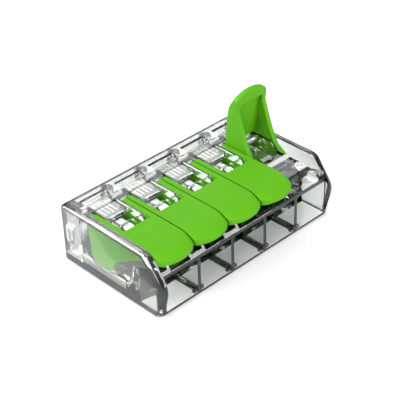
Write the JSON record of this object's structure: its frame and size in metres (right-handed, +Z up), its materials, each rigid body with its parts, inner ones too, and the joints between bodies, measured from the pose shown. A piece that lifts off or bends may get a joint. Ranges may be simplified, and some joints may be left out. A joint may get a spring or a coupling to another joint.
{
  "type": "lever wire connector",
  "caption": "Clear splicing connector with a row of hinged levers over square wire entries; each lever opens a clamp spring that holds a stripped wire on a common bar.",
  "frame": {"origin": "middle of the underside's bounding rectangle, on the surface the connector rests on", "axes": "+X along the row of poles, -Y towards the wire entries, +Z up"},
  "size_m": [0.0298, 0.0183, 0.0159],
  "materials": {
    "clear_housing": "clear polished polycarbonate",
    "lever_green": "satin moulded polyamide",
    "tinned_copper": "matt tinned copper",
    "spring_steel": "bright stainless spring strip",
    "stamped_steel": "stamped stainless sheet"
  },
  "bodies": {
    "base": {"housing": "clear_housing", "rear_cover": "clear_housing", "current_bar": "tinned_copper", "clamp_spring_1": "spring_steel", "clamp_spring_2": "spring_steel", "clamp_spring_3": "spring_steel", "clamp_spring_4": "spring_steel", "clamp_spring_5": "spring_steel", "spring_frame_1": "stamped_steel", "spring_frame_2": "stamped_steel", "spring_frame_3": "stamped_steel", "spring_frame_4": "stamped_steel", "spring_frame_5": "stamped_steel"},
    "lever_1": {"lever_1": "lever_green"},
    "lever_2": {"lever_2": "lever_green"},
    "lever_3": {"lever_3": "lever_green"},
    "lever_4": {"lever_4": "lever_green"},
    "lever_5": {"lever_5": "lever_green"}
  },
  "joints": [
    {"name": "lever_1_hinge", "type": "hinge", "parent": "base", "child": "lever_1", "pos_m": [-0.0112, 0.0016, 0.0056], "axis": [-1, 0, 0], "range_deg": [0, 84], "deforming": ["clamp_spring_1"]},
    {"name": "lever_2_hinge", "type": "hinge", "parent": "base", "child": "lever_2", "pos_m": [-0.0056, 0.0016, 0.0056], "axis": [-1, 0, 0], "range_deg": [0, 84], "deforming": ["clamp_spring_2"]},
    {"name": "lever_3_hinge", "type": "hinge", "parent": "base", "child": "lever_3", "pos_m": [0, 0.0016, 0.0056], "axis": [-1, 0, 0], "range_deg": [0, 84], "deforming": ["clamp_spring_3"]},
    {"name": "lever_4_hinge", "type": "hinge", "parent": "base", "child": "lever_4", "pos_m": [0.0056, 0.0016, 0.0056], "axis": [-1, 0, 0], "range_deg": [0, 84], "deforming": ["clamp_spring_4"]},
    {"name": "lever_5_hinge", "type": "hinge", "parent": "base", "child": "lever_5", "pos_m": [0.0112, 0.0016, 0.0056], "axis": [-1, 0, 0], "range_deg": [-84, 0], "deforming": ["clamp_spring_5"]}
  ]
}
